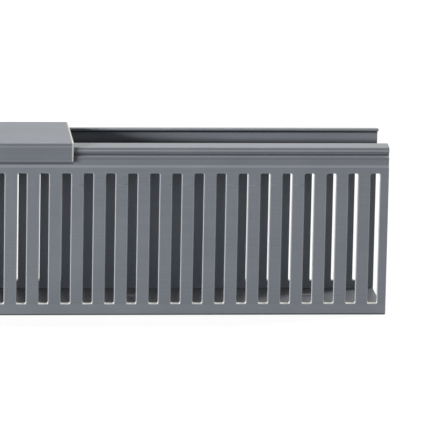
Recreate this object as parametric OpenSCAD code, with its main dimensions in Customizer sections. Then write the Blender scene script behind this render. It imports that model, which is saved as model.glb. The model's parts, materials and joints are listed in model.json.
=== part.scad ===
// Slotted wire duct: a punched U-shaped channel of rigid plastic with a clip-on cover.
// X runs along the duct, Y across it and Z up. The origin is at the middle of the underside.

/* [Duct] */
// Length of the channel
duct_l = 1000; // [300:50:2000]
// Width over the two walls
duct_w = 60; // [45:5:120]
// Height with the cover on
duct_h = 100; // [60:5:120]
// Thickness of the walls
wall_t = 2; // [1.6:0.1:2.4]
// Thickness of the floor
floor_t = 2; // [1.6:0.1:2.6]
// Radius of the long outer corners at the floor
foot_r = 1; // [0.5:0.1:1.4]
// Radius of the inner corners at the floor
fillet_r = 1; // [0.5:0.1:1.5]

/* [Wall slots] */
// Distance from one slot to the next
slot_pitch = 12.5; // [10:0.5:25]
// Width of a slot
slot_w = 5.3; // [4:0.1:7]
// Radius of a slot's corners
slot_r = 1; // [0.5:0.1:1.8]
// Height of the unpunched strip under the slots
slot_sill = 7; // [5:0.1:15]
// Height of the flat wall between the slots and the rim
slot_head = 3.3; // [2:0.1:8]
// Width of the finger left at the right-hand end of the front wall
end_finger = 5.1; // [3:0.1:9]
// Width of the finger left at the right-hand end of the back wall
end_finger_back = 7; // [3:0.1:9]

/* [Score lines] */
// Depth of the snap-off scores
score_d = 0.15; // [0.1:0.05:0.5]
// Width of the snap-off scores
score_w = 0.5; // [0.3:0.1:1]
// Distance of the outer score below the tops of the slots
score_drop = 6.6; // [4:0.1:12]
// Height of the inner score above the floor
score_rise = 14; // [10:0.5:20]

/* [Snap rim] */
// Distance of a flange's tip from the wall's outer face
flange_w = 9; // [7:0.5:14]
// Thickness of a flange
flange_t = 1.6; // [1.2:0.1:2]
// Radius of the two edges of a flange's tip
tip_r = 0.6; // [0.3:0.1:0.6]
// Size of the gusset between a flange and its wall
gusset = 1.2; // [0.5:0.1:2]
// How much higher the flange's tip is than its root
flange_rise = 0.9; // [0.4:0.1:1.4]
// Depth of the step that takes the cover's skirt
recess_d = 0.8; // [0.5:0.1:1.2]
// Height of the sloping shoulder under the recess
shoulder_h = 1.5; // [1:0.1:3]
// Height of the bead's upright face
bead_h = 2.6; // [2:0.1:4]
// Radius of the bead's upper edge
bead_r = 0.8; // [0.4:0.1:1]
// Depth of the groove under the bead
groove_d = 0.9; // [0.6:0.1:1.2]
// Height of the groove's flat bottom
groove_h = 1.4; // [1:0.1:2]
// Thickness of the wall behind the groove
rim_t = 1.7; // [1.4:0.1:2]

/* [Cover] */
// Length of the cover
cover_l = 1000; // [300:50:2000]
// How far the cover is slid back from the right-hand end
cover_back = 179; // [0:1:250]
// Thickness of the cover's top
cover_t = 1.6; // [1.2:0.1:2]
// Thickness of the cover's skirts
skirt_t = 1.4; // [1:0.1:1.8]
// Height of the skirts with the top
skirt_h = 11; // [10:0.5:14]
// Radius of the cover's long upper edges
cover_r = 1; // [0.4:0.1:1.6]
// Gap between the cover and the flanges it rests on
seat_gap = 0.3; // [0.1:0.05:0.5]
// Gap between a skirt and the rim, and between a snap rib and its groove
snap_gap = 0.2; // [0.1:0.05:0.4]
// Gap between a skirt's lower edge and the shoulder
skirt_gap = 2; // [1:0.1:3]
// Bevel that guides a skirt over the rim
lead_in = 0.5; // [0.2:0.1:0.8]

/* [Mounting holes] */
// Distance between holes along the duct
hole_pitch = 100; // [50:25:200]
// Distance between the two rows
hole_gauge = 20; // [15:1:30]
// Width of a hole
hole_w = 6; // [4:0.5:8]
// Length of a hole
hole_l = 12; // [8:0.5:16]
// Distance of the first holes from the right-hand end
hole_start = 40; // [20:5:80]

/* [Hidden] */
$fn = 48;
// how far a cutter runs past the surface it cuts
past = 1;

// distances from the middle plane, from the outside inwards
y_wall = duct_w / 2;
y_recess = y_wall - recess_d;
y_groove = y_recess - groove_d;
y_bead = y_recess - bead_r;
y_inner = y_wall - wall_t;
y_rim = y_groove - rim_t;
y_tip = y_wall - flange_w;
y_skirt = y_recess + snap_gap;
y_cover = y_skirt + skirt_t;
y_rib = y_skirt - groove_d;

// heights, from the cover downwards
z_tip = duct_h - cover_t - seat_gap;
z_root = z_tip - flange_rise;
z_bead = z_root - bead_h;
z_groove = z_bead - groove_d;
z_ledge = z_groove - groove_h;
z_skirt = duct_h - skirt_h;
z_recess = z_skirt - skirt_gap;
z_shoulder = z_recess - shoulder_h;
// a flange's underside at this distance from the middle plane
function z_under(y) = z_tip - flange_t - flange_rise * (y - y_tip - tip_r) / (y_bead - y_tip - tip_r);

slot_h = z_shoulder - slot_head - slot_sill;
finger_w = slot_pitch - slot_w;
// the slots in a wall with this end finger, which stop where less than half a finger would be left
function slots(finger) = floor((duct_l - finger - slot_w - finger_w / 2) / slot_pitch) + 1;
// the holes stop where less than a hole's length would be left
holes = floor((duct_l - hole_start - 1.5 * hole_l) / hole_pitch) + 1;
// heights of the scores outside on the fingers and inside on the walls
z_score_out = slot_sill + slot_h - score_drop;
z_score_in = floor_t + score_rise;

// a closed outline from the points of its right-hand half, which runs from one end on the middle
// plane to the other
function both_halves(half) = concat(half, [for (i = [len(half) - 1 : -1 : 0]) [-half[i][0], half[i][1]]]);

// what rounding takes off a square corner at the origin, whose material is towards +X and +Y
module corner_waste(r) {
    difference() {
        square(r);
        translate([r, r]) circle(r);
    }
}

// a length of this outline along X, centred on the origin
module along_x(length) {
    translate([-length / 2, 0, 0]) rotate([90, 0, 90]) linear_extrude(length) children();
}

// a shape in the outline and its mirror image on the other side
module each_side() {
    children();
    mirror([1, 0]) children();
}

// the cutter for a snap-off score, centred on the face that it marks
module score() {
    polygon([[-score_d, 0], [0, -score_w / 2], [score_d, 0], [0, score_w / 2]]);
}

// the channel's cross-section: floor, walls, snap rims and flanges
module channel_outline() {
    half = [
        [y_wall, 0],
        [y_wall, z_shoulder],
        [y_recess, z_recess],
        [y_recess, z_ledge - groove_d],
        [y_groove, z_ledge],
        [y_groove, z_groove],
        [y_recess, z_bead],
        [y_recess, z_root],
        [y_bead, z_root],
        [y_tip + tip_r, z_tip],
        [y_tip, z_tip],
        [y_tip, z_tip - flange_t],
        [y_tip + tip_r, z_tip - flange_t],
        [y_rim - gusset, z_under(y_rim - gusset)],
        [y_rim, z_under(y_rim) - gusset],
        [y_rim, z_skirt + lead_in],
        [y_inner, z_shoulder],
        [y_inner, floor_t + fillet_r],
        [y_inner - fillet_r, floor_t],
    ];
    difference() {
        polygon(both_halves(half));
        each_side() {
            translate([y_wall, 0]) mirror([1, 0]) corner_waste(foot_r);
            translate([y_recess, z_root]) rotate(180) corner_waste(bead_r);
            translate([y_tip, z_tip]) mirror([0, 1]) corner_waste(tip_r);
            translate([y_tip, z_tip - flange_t]) corner_waste(tip_r);
            translate([y_inner - fillet_r, floor_t + fillet_r]) circle(fillet_r);
            translate([y_wall, z_score_out]) score();
            translate([y_inner, z_score_in]) score();
        }
    }
}

// the cover's cross-section: top, skirts and the ribs that snap under the beads
module cover_outline() {
    half = [
        [y_cover, duct_h],
        [y_cover, z_skirt],
        [y_skirt + lead_in, z_skirt],
        [y_skirt, z_skirt + lead_in],
        [y_skirt, z_ledge + snap_gap - groove_d],
        [y_rib, z_ledge + snap_gap],
        [y_rib, z_groove - snap_gap],
        [y_skirt, z_groove - snap_gap + groove_d],
        [y_skirt, duct_h - cover_t],
    ];
    difference() {
        polygon(both_halves(half));
        each_side() translate([y_cover, duct_h]) rotate(180) corner_waste(cover_r);
    }
}

// the punch that cuts one slot in the front wall
module slot_punch() {
    translate([0, past - y_inner, slot_sill]) rotate([90, 0, 0]) {
        linear_extrude(wall_t + 2 * past) difference() {
            translate([-slot_w / 2, 0]) square([slot_w, slot_h]);
            each_side() {
                translate([-slot_w / 2, 0]) corner_waste(slot_r);
                translate([-slot_w / 2, slot_h]) mirror([0, 1]) corner_waste(slot_r);
            }
        }
    }
}

// the punches for the front wall's slots, from the right-hand end that leaves this finger
module slot_row(finger) {
    for (i = [0 : slots(finger) - 1]) {
        translate([duct_l / 2 - finger - slot_w / 2 - i * slot_pitch, 0, 0]) slot_punch();
    }
}

// the punch for one oblong mounting hole
module hole_punch() {
    translate([0, 0, -past]) linear_extrude(floor_t + 2 * past) {
        square([hole_l - hole_w, hole_w], center = true);
        each_side() translate([(hole_l - hole_w) / 2, 0]) circle(hole_w / 2);
    }
}

module duct_base() {
    color("#7b8088") difference() {
        along_x(duct_l) channel_outline();
        slot_row(end_finger);
        mirror([0, 1, 0]) slot_row(end_finger_back);
        for (i = [0 : holes - 1], side = [-1, 1]) {
            translate([duct_l / 2 - hole_start - i * hole_pitch, side * hole_gauge / 2, 0]) hole_punch();
        }
    }
}

module cover() {
    color("#a0a1a5") {
        translate([duct_l / 2 - cover_back - cover_l / 2, 0, 0]) along_x(cover_l) cover_outline();
    }
}

duct_base();
cover();
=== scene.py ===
import json
import math

import bpy
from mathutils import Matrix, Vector

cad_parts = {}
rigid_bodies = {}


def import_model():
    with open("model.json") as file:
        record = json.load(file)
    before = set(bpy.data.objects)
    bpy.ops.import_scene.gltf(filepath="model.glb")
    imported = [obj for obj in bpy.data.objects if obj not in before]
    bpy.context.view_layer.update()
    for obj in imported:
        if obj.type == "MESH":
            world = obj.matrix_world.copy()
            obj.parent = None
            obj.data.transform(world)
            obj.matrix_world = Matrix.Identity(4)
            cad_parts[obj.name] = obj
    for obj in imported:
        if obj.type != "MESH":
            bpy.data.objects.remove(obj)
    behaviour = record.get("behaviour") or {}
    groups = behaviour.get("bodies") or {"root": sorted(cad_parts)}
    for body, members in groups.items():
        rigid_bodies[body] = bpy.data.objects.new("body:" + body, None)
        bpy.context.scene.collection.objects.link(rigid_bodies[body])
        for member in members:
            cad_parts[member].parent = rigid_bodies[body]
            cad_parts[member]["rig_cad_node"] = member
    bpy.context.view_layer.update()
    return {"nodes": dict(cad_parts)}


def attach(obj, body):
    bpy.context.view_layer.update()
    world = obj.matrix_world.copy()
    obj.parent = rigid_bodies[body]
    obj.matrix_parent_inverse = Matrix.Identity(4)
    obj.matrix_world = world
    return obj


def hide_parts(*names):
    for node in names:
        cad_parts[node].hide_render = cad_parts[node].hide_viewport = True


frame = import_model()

# ---------------------------------------------------------------- the camera
# A long lens from the front and a little above, turned to the right, as a length of duct is shown
# in a catalogue. It takes in the open right-hand end and the end of the cover.
bpy.ops.object.camera_add(
    location=(0.172, -2.5464, 0.6071),
    rotation=[math.radians(angle) for angle in (77.744, -1.082, -4.975)],
)
camera = bpy.context.active_object
camera.name = "camera"
camera.data.sensor_width = 36
camera.data.lens = 382.8
camera.data.clip_start = 0.05
camera.data.clip_end = 100
bpy.context.scene.camera = camera

# ---------------------------------------------------------------- the channel
# One extruded length of rigid PVC: a floor and two walls, each with a rim that the cover snaps
# over. Presses punch the slots and the fixing holes once it is drawn, and a saw cuts it to length.
# Its sizes are in millimetres from the middle of its underside.
# the cover is just as long as the channel
half_length = 500
wall_inside = 28
slot_pitch, slot_width, slot_corner = 12.5, 5.3, 1
slot_foot, slot_top = 7, 82.2
# the middle of the front wall's right-hand slot, and a place just past the left-hand slots
first_slot, past_last_slot = 492.25, -489
# the back wall's slots stand this much further from the right-hand end
back_step = 1.9
hole_pitch, first_hole, hole_row = 100, 460, 10
# the radius of a fixing hole's ends, and the length of its straight part
hole_radius, hole_straight = 3, 6
score_inside, score_outside = 16, 75.6
broken_edge = 0.3
# how far along the channel the cover reaches
cover_end = 321
# grey for the pale strained edges and for painted highlights, white for the painted highlight on the
# slots' sills, and dark grey for painted shade
strained_and_highlight_grey, sill_highlight_white, painted_shade_grey = "#b4b7bc", "#ecece6", "#3c3e42"


def linear(hex_colour):
    """An sRGB hex colour as linear red, green, blue and alpha."""
    values = [int(hex_colour[i : i + 2], 16) / 255 for i in (1, 3, 5)]
    return [v / 12.92 if v <= 0.04045 else ((v + 0.055) / 1.055) ** 2.4 for v in values] + [1]


def add(tree, kind, *values, **settings):
    """Adds a shader node with its settings, and puts each number, node or socket in its next input."""
    made = tree.nodes.new("ShaderNode" + kind)
    for name, setting in settings.items():
        setattr(made, name, setting)
    for socket, value in zip([s for s in made.inputs if s.enabled], values):
        if isinstance(value, bpy.types.Node):
            value = next(s for s in value.outputs if s.enabled)
        if isinstance(value, bpy.types.NodeSocket):
            tree.links.new(value, socket)
        elif value is not None:
            socket.default_value = value
    return made


def trimmed_copy(name, node_name):
    """A copy of an extrusion, with the edges that the punch and the saw left broken."""
    bpy.ops.object.select_all(action="DESELECT")
    original = frame["nodes"][node_name]
    original.select_set(True)
    bpy.context.view_layer.objects.active = original
    bpy.ops.object.duplicate()
    piece = bpy.context.active_object
    piece.name = name
    del piece["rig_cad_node"]
    bpy.ops.object.mode_set(mode="EDIT")
    bpy.ops.mesh.select_all(action="SELECT")
    bpy.ops.mesh.remove_doubles(threshold=1e-6)
    bpy.ops.mesh.dissolve_limited(angle_limit=math.radians(1))
    bpy.ops.object.mode_set(mode="OBJECT")
    bevel = piece.modifiers.new("broken_edges", "BEVEL")
    bevel.width = broken_edge / 1000
    bevel.segments = 1
    bevel.limit_method = "ANGLE"
    bevel.angle_limit = math.radians(65)
    bevel.use_clamp_overlap = False
    bpy.ops.object.modifier_apply(modifier=bevel.name)
    piece.data.materials.clear()
    return piece


def extruded_pvc(name):
    """Rigid PVC, drawn through a die, looks semi-matt and a little uneven, with faint lines along its
    length. Returns the material, its tree, the place in millimetres and the plain colour."""
    material = bpy.data.materials.new(name)
    material.use_nodes = True
    tree = material.node_tree
    place = add(tree, "TexCoord").outputs["Object"]
    mm = add(tree, "VectorMath", place, 1000, operation="SCALE")
    # die lines run the whole length, so the pattern is drawn out 150 times along X; they are about
    # a millimetre apart, which is coarser than real ones, so that they show
    drawn = add(tree, "VectorMath", mm, (1 / 150, 1, 1), operation="MULTIPLY")
    lines = add(tree, "TexNoise", drawn, 1.0, 3, 0.6)
    # the pigment is mixed a little unevenly, in clouds some 30 millimetres across
    clouds = add(tree, "TexNoise", mm, 0.03, 2, 0.5)
    shade = add(tree, "Math", lines, clouds, operation="ADD")
    shade = add(tree, "MapRange", shade, 0.7, 1.3, 0, 1)
    plain = add(tree, "Mix", shade, linear("#80858d"), linear("#8a8f97"), data_type="RGBA")
    gloss = add(tree, "MapRange", lines, 0.3, 0.7, 0.38, 0.5)
    bump = add(tree, "Bump", 0.25, 0.00002, lines)
    shader = tree.nodes["Principled BSDF"]
    tree.links.new(gloss.outputs[0], shader.inputs["Roughness"])
    tree.links.new(bump.outputs[0], shader.inputs["Normal"])
    # PVC's own IOR, and less shine than it has when polished, because the drawn skin is dull
    shader.inputs["IOR"].default_value = 1.53
    shader.inputs["Specular IOR Level"].default_value = 0.3
    return material, tree, mm, plain


def line_along(tree, height, line_height, half_width, where, strength):
    """How strongly a line shows that runs the whole length at this height, where a mask lets it."""
    line = add(tree, "Math", height, line_height, half_width, operation="COMPARE")
    line = add(tree, "Math", line, where, operation="MULTIPLY")
    return add(tree, "Math", line, strength, operation="MULTIPLY")


def colour_with(tree, colour):
    """Gives the shader this colour."""
    output = next(s for s in colour.outputs if s.enabled)
    tree.links.new(output, tree.nodes["Principled BSDF"].inputs["Base Color"])


channel = trimmed_copy("channel", "duct_base")
material, tree, mm, plain = extruded_pvc("extruded_grey_pvc_with_punched_slots")
along, across, height = add(tree, "SeparateXYZ", mm).outputs
side = add(tree, "Math", across, operation="ABSOLUTE")
at_wall = add(tree, "Math", side, wall_inside - 0.3, operation="GREATER_THAN")
outside = add(tree, "Math", side, wall_inside + 0.2, operation="GREATER_THAN")
inside = add(tree, "Math", side, wall_inside + 0.2, operation="LESS_THAN")
outer = add(tree, "MapRange", side, wall_inside, wall_inside + 0.4, 0, 1)

# a punch stresses the PVC round each slot, and the strained edge turns pale; a painted highlight along
# the slot's edges is drawn with it: the distance from the middles of the nearest slot's corners, which
# is the corners' radius at the slot's edge
at_back = add(tree, "Math", across, 0, operation="GREATER_THAN")
first = add(tree, "Math", at_back, -back_step, first_slot, operation="MULTIPLY_ADD")
from_first = add(tree, "Math", first, along, operation="SUBTRACT")
from_middle = add(tree, "Math", from_first, slot_pitch / 2, operation="PINGPONG")
beside = add(tree, "Math", from_middle, slot_width / 2 - slot_corner, operation="SUBTRACT")
beside = add(tree, "Math", beside, 0, operation="MAXIMUM")
from_waist = add(tree, "Math", height, (slot_foot + slot_top) / 2, operation="SUBTRACT")
from_waist = add(tree, "Math", from_waist, operation="ABSOLUTE")
above = add(tree, "Math", from_waist, (slot_top - slot_foot) / 2 - slot_corner, operation="SUBTRACT")
above = add(tree, "Math", above, 0, operation="MAXIMUM")
gap = add(tree, "CombineXYZ", beside, above, 0)
gap = add(tree, "VectorMath", gap, operation="LENGTH").outputs["Value"]
slot_edge = add(
    tree, "MapRange", gap, slot_corner + 0.2, slot_corner + 0.8, 1, 0, interpolation_type="SMOOTHSTEP"
)
slotted = add(tree, "Math", along, past_last_slot, operation="GREATER_THAN")
# the pale strain and painted highlight on a slot's sides are a little more than half as strong as at
# its foot
upright = add(tree, "MapRange", height, slot_foot + 0.5, slot_foot + 2, 1, 0.55)
for mask in (outer, slotted, upright):
    slot_edge = add(tree, "Math", slot_edge, mask, operation="MULTIPLY")

# painted highlight: the sill at the foot of each slot is painted almost white
painted_sill_highlight = add(tree, "Math", height, slot_foot, 0.5, operation="COMPARE")
in_slot = add(tree, "Math", from_middle, slot_width / 2 + 0.15, operation="LESS_THAN")
for mask in (in_slot, at_wall, slotted):
    painted_sill_highlight = add(tree, "Math", painted_sill_highlight, mask, operation="MULTIPLY")

# the edges of the oblong fixing holes, in two rows, are drawn pale in the same way, partly strain and
# partly painted highlight
from_hole = add(tree, "Math", first_hole, along, operation="SUBTRACT")
from_hole = add(tree, "Math", from_hole, hole_pitch / 2, operation="PINGPONG")
from_hole = add(tree, "Math", from_hole, hole_straight / 2, operation="SUBTRACT")
from_hole = add(tree, "Math", from_hole, 0, operation="MAXIMUM")
from_row = add(tree, "Math", side, hole_row, operation="SUBTRACT")
gap = add(tree, "CombineXYZ", from_hole, from_row, 0)
gap = add(tree, "VectorMath", gap, operation="LENGTH").outputs["Value"]
hole_edge = add(
    tree, "MapRange", gap, hole_radius + 0.1, hole_radius + 0.6, 1, 0, interpolation_type="SMOOTHSTEP"
)
in_floor = add(tree, "Math", height, 2.2, operation="LESS_THAN")
hole_edge = add(tree, "Math", hole_edge, in_floor, operation="MULTIPLY")

# the snap-off scores show as faint pale lines, outside on the fingers and inside near the floor
score_height = add(tree, "Mix", outer, score_inside, score_outside, data_type="FLOAT")
score = line_along(tree, height, score_height, 0.35, at_wall, 0.12)

# painted highlights: the tops of the rims, bands on the outer faces of the walls and the foot of the
# wall, and a band on the back of the rim inside are painted paler;
# each row has a height, half a width, the side of the wall and a strength
painted_lit_top = add(tree, "Math", height, 96.7, operation="GREATER_THAN")
painted_highlight = add(tree, "Math", painted_lit_top, 0.38, operation="MULTIPLY")
for row in (
    (95.2, 0.35, outside, 0.4),  # the foot of the bead
    (91.8, 0.4, outside, 0.35),  # the lip of the groove
    (86.2, 0.7, outside, 0.45),  # the shoulder
    (3.2, 3.3, outside, 0.07),  # the foot of the wall
    (92.9, 1.2, inside, 0.12),  # the back of the rim
):
    painted_highlight = add(tree, "Math", painted_highlight, line_along(tree, height, *row), operation="MAXIMUM")

# painted shade darkens the recess, the groove and the lines beside it, the foot of the cover's skirts,
# the corners and slopes under the rims, and the floor
covered = add(tree, "Math", along, cover_end, operation="LESS_THAN")
covered = add(tree, "Math", covered, outside, operation="MULTIPLY")
painted_shade_ramp = add(tree, "MapRange", height, 88.4, 91.4, 0.95, 0)
painted_shade = line_along(tree, height, 89, 2, outside, 0.1)  # the recess
for row in (
    (96.3, 0.25, outside, 0.35),  # the line under the bead's rounded edge
    (92.85, 0.6, outside, 0.85),  # the groove
    (90.5, 0.5, outside, 0.3),  # the line under the groove's lip
    (87.9, 0.6, covered, 0.7),  # the foot of the cover's skirts
    (95.6, 1, inside, 0.9),  # the corners under the flanges
    (88.9, 2.7, inside, painted_shade_ramp),  # the slopes under the rims
    (2.1, 0.4, inside, 0.55),  # the floor
):
    painted_shade = add(tree, "Math", painted_shade, line_along(tree, height, *row), operation="MAXIMUM")
plain = add(tree, "Mix", painted_shade, plain, linear(painted_shade_grey), data_type="RGBA")

# the saw leaves both ends pale
from_middle = add(tree, "Math", along, operation="ABSOLUTE")
pale = add(tree, "MapRange", from_middle, half_length - 0.5, half_length - 0.2, 0, 0.6)

# the pale marks of strain and saw, the faint score lines and the painted highlights are mixed into one
# mask
for mark in (slot_edge, hole_edge, score, painted_highlight):
    pale = add(tree, "Math", pale, mark, operation="MAXIMUM")
colour = add(tree, "Mix", pale, plain, linear(strained_and_highlight_grey), data_type="RGBA")
colour = add(tree, "Mix", painted_sill_highlight, colour, linear(sill_highlight_white), data_type="RGBA")
colour_with(tree, colour)
channel.data.materials.append(material)
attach(channel, "base")
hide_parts("duct_base")

# ---------------------------------------------------------------- the cover
# A second extruded length of the same PVC: a flat top with two short skirts, whose ribs snap
# under the rims' beads. It is sawn to length, and the saw leaves a pale edge.
cover = trimmed_copy("lid", "cover")
material, tree, mm, plain = extruded_pvc("extruded_grey_pvc_cover")
along, across, height = add(tree, "SeparateXYZ", mm).outputs

# painted highlights along the cover's edges and painted shade on its skirts; each row has a height,
# half a width, a colour and a strength
side = add(tree, "Math", across, operation="ABSOLUTE")
on_skirt = add(tree, "Math", side, 29.4, operation="GREATER_THAN")
for line_height, half_width, shade, strength in (
    (94, 5, painted_shade_grey, 0.16),  # the whole skirt
    (99.8, 0.35, strained_and_highlight_grey, 0.4),  # the rounded upper edge
    (98.8, 0.3, painted_shade_grey, 0.22),  # the line under it
    (97.7, 0.5, strained_and_highlight_grey, 0.25),  # the paler line under that
    (89.3, 0.4, strained_and_highlight_grey, 0.35),  # the foot
):
    line = line_along(tree, height, line_height, half_width, on_skirt, strength)
    plain = add(tree, "Mix", line, plain, linear(shade), data_type="RGBA")

# the saw leaves a pale edge, drawn about a millimetre wide so that it shows
from_middle = add(tree, "Math", along, half_length - cover_end, operation="ADD")
from_middle = add(tree, "Math", from_middle, operation="ABSOLUTE")
sawn = add(tree, "MapRange", from_middle, half_length - 1.1, half_length - 0.7, 0, 1)
colour_with(tree, add(tree, "Mix", sawn, plain, linear("#dededa"), data_type="RGBA"))
cover.data.materials.append(material)
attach(cover, "cover")
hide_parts("cover")

# ---------------------------------------------------------------- floor and light
# A wide sheet of matt white paper, and two softboxes: one high on the right and a little behind,
# whose light the walls keep off most of the duct's inside, and a low one on the left.


def seen_directly(tree):
    """1 for what the camera sees, straight, in a gloss or through something clear, and 0 for light."""
    path = add(tree, "LightPath")
    seen = add(
        tree, "Math", path.outputs["Is Camera Ray"], path.outputs["Is Glossy Ray"], operation="MAXIMUM"
    )
    return add(tree, "Math", seen, path.outputs["Is Transmission Ray"], operation="MAXIMUM")


# the paper lies a tenth of a millimetre under the duct, so that the two faces don't meet
bpy.ops.object.select_all(action="DESELECT")
bpy.ops.mesh.primitive_plane_add(size=60, location=(0, 0, -0.0001))
floor = bpy.context.active_object
floor.name = "floor"
# matt paper, white to the camera and grey to the light that it sends back to the duct
paper = bpy.data.materials.new("white_paper")
paper.use_nodes = True
tree = paper.node_tree
shader = tree.nodes["Principled BSDF"]
shader.inputs["Base Color"].default_value = linear("#707070")
shader.inputs["Roughness"].default_value = 0.9
# it is nearly white by itself, and the lamps add the rest, so that the duct's shadow still shows
glow = add(tree, "Emission", (1, 1, 1, 1), 0.88)
lit = add(tree, "AddShader", shader, glow)
paper_finish = add(tree, "MixShader", seen_directly(tree), shader, lit)
tree.links.new(paper_finish.outputs[0], tree.nodes["Material Output"].inputs["Surface"])
floor.data.materials.append(paper)

# the room is white to the camera and gives the duct only a little light of its own
world = bpy.data.worlds.new("studio")
bpy.context.scene.world = world
world.use_nodes = True
tree = world.node_tree
background = tree.nodes["Background"]
background.inputs["Color"].default_value = (1, 1, 1, 1)
strength = add(tree, "Mix", seen_directly(tree), 0.04, 1.0, data_type="FLOAT")
tree.links.new(strength.outputs[0], background.inputs["Strength"])

open_part = Vector((0.3, 0, 0.05))


def softbox(name, place, width, height, power, colour):
    """A softbox at this place in metres, aimed at the open part of the duct."""
    bpy.ops.object.light_add(type="AREA", location=place)
    lamp = bpy.context.active_object
    lamp.name = name
    lamp.data.shape = "RECTANGLE"
    lamp.data.size = width
    lamp.data.size_y = height
    lamp.data.energy = power
    lamp.data.color = colour
    lamp.rotation_euler = (open_part - Vector(place)).to_track_quat("-Z", "Y").to_euler()


softbox("high_light", (3.6, 1.2, 3.65), width=0.7, height=0.7, power=235, colour=(1, 0.98, 0.94))
softbox("low_light", (-3.0, -1.6, 0.6), width=1.9, height=0.55, power=186, colour=(1, 1, 1))

bpy.context.scene.view_settings.view_transform = "Standard"
